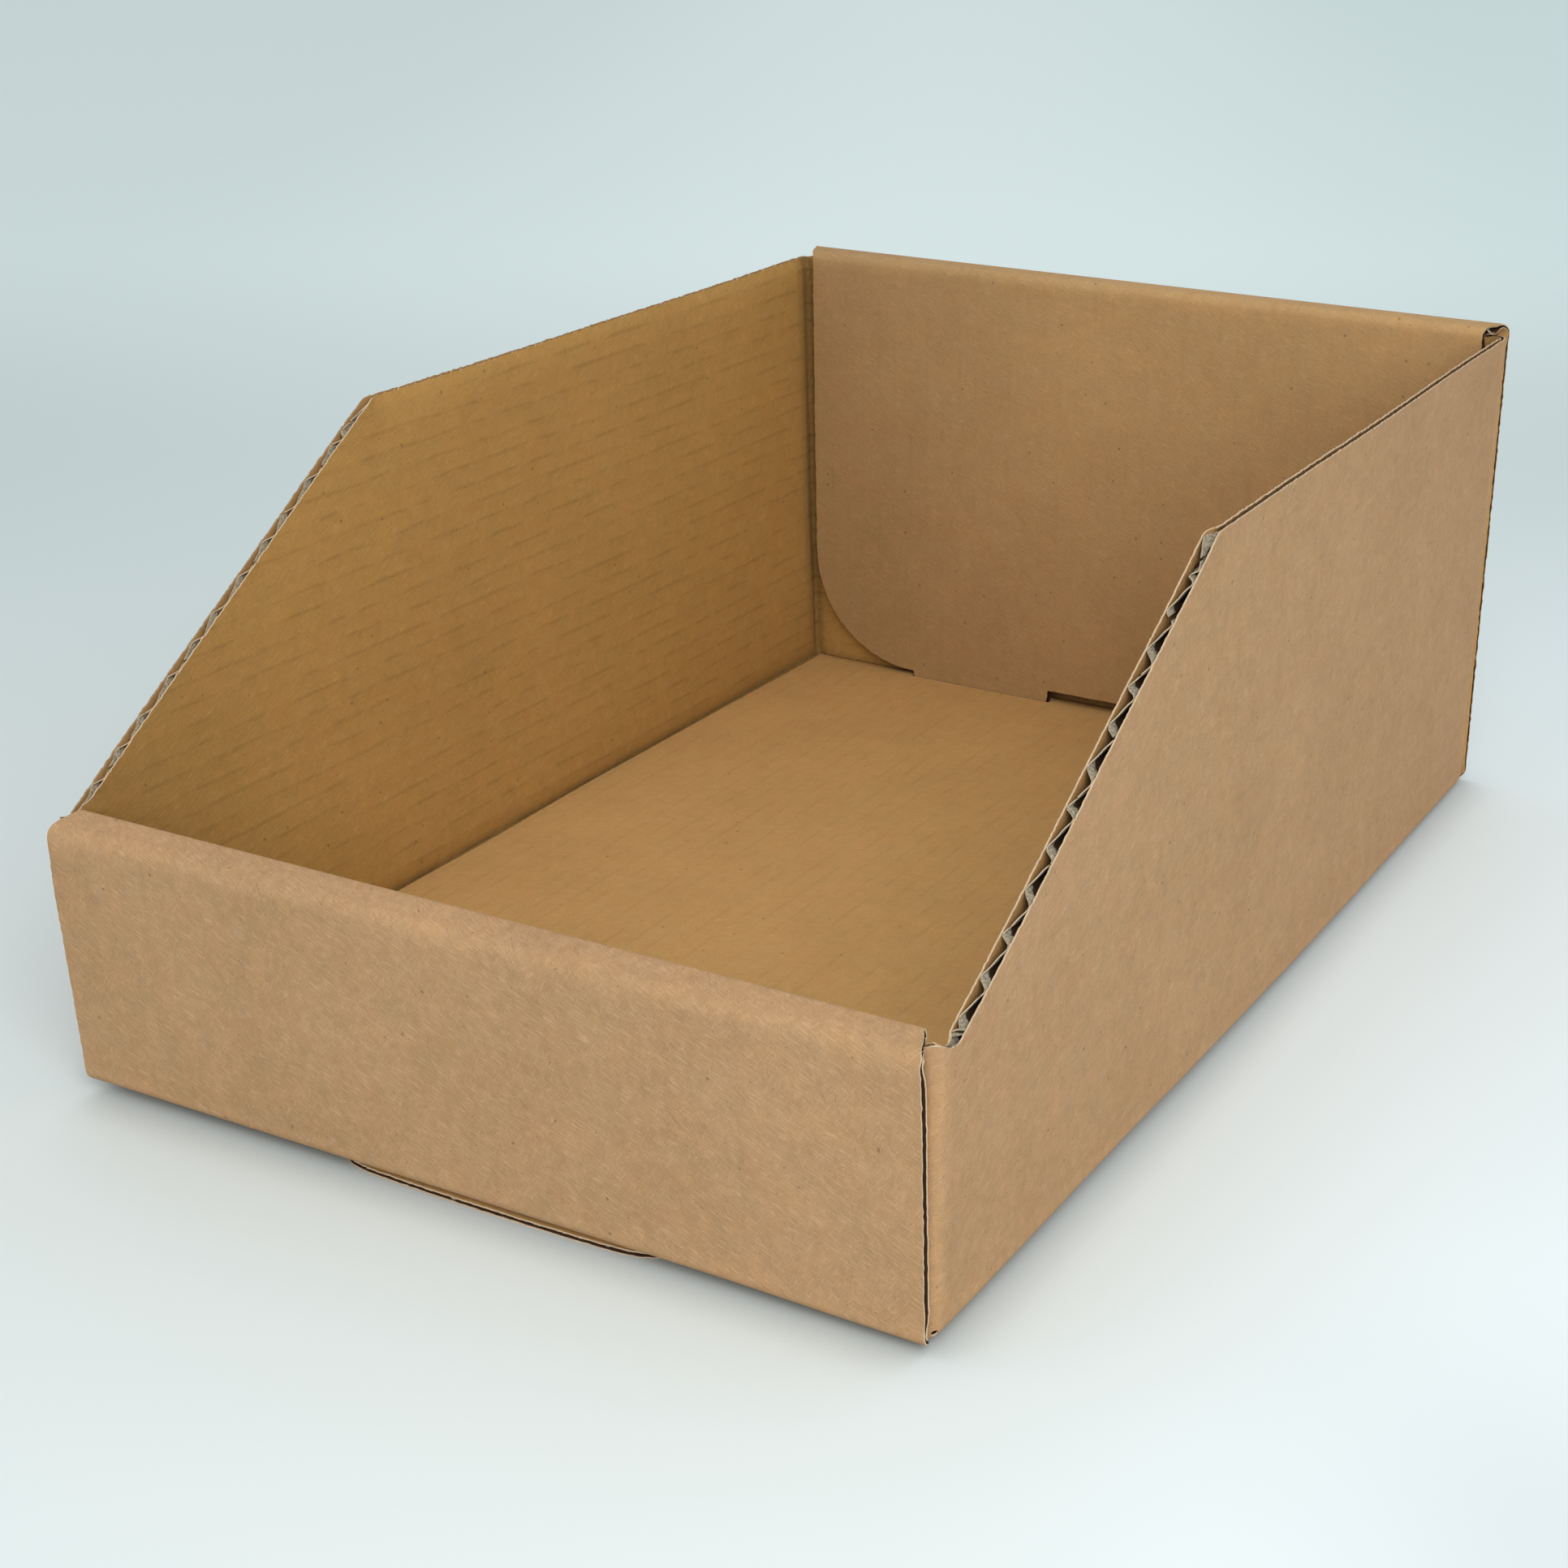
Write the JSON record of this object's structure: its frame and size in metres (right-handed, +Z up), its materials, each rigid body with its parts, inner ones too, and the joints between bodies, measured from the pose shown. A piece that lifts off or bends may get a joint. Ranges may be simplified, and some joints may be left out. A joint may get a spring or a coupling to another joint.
{
  "type": "open-fronted cardboard storage tray",
  "caption": "One-piece folded corrugated kraft tray with a low front wall, sloped sides and a tall back, for small goods on a shelf.",
  "frame": {"origin": "centre of the flat underside of the base", "axes": "+X to the right seen from the front, +Y from the low front wall to the tall back wall, +Z up"},
  "size_m": [0.2, 0.3, 0.1252],
  "materials": {
    "kraft_board": "uncoated brown kraft liner, matt"
  },
  "bodies": {
    "root": {"folded_tray": "kraft_board"}
  },
  "joints": []
}
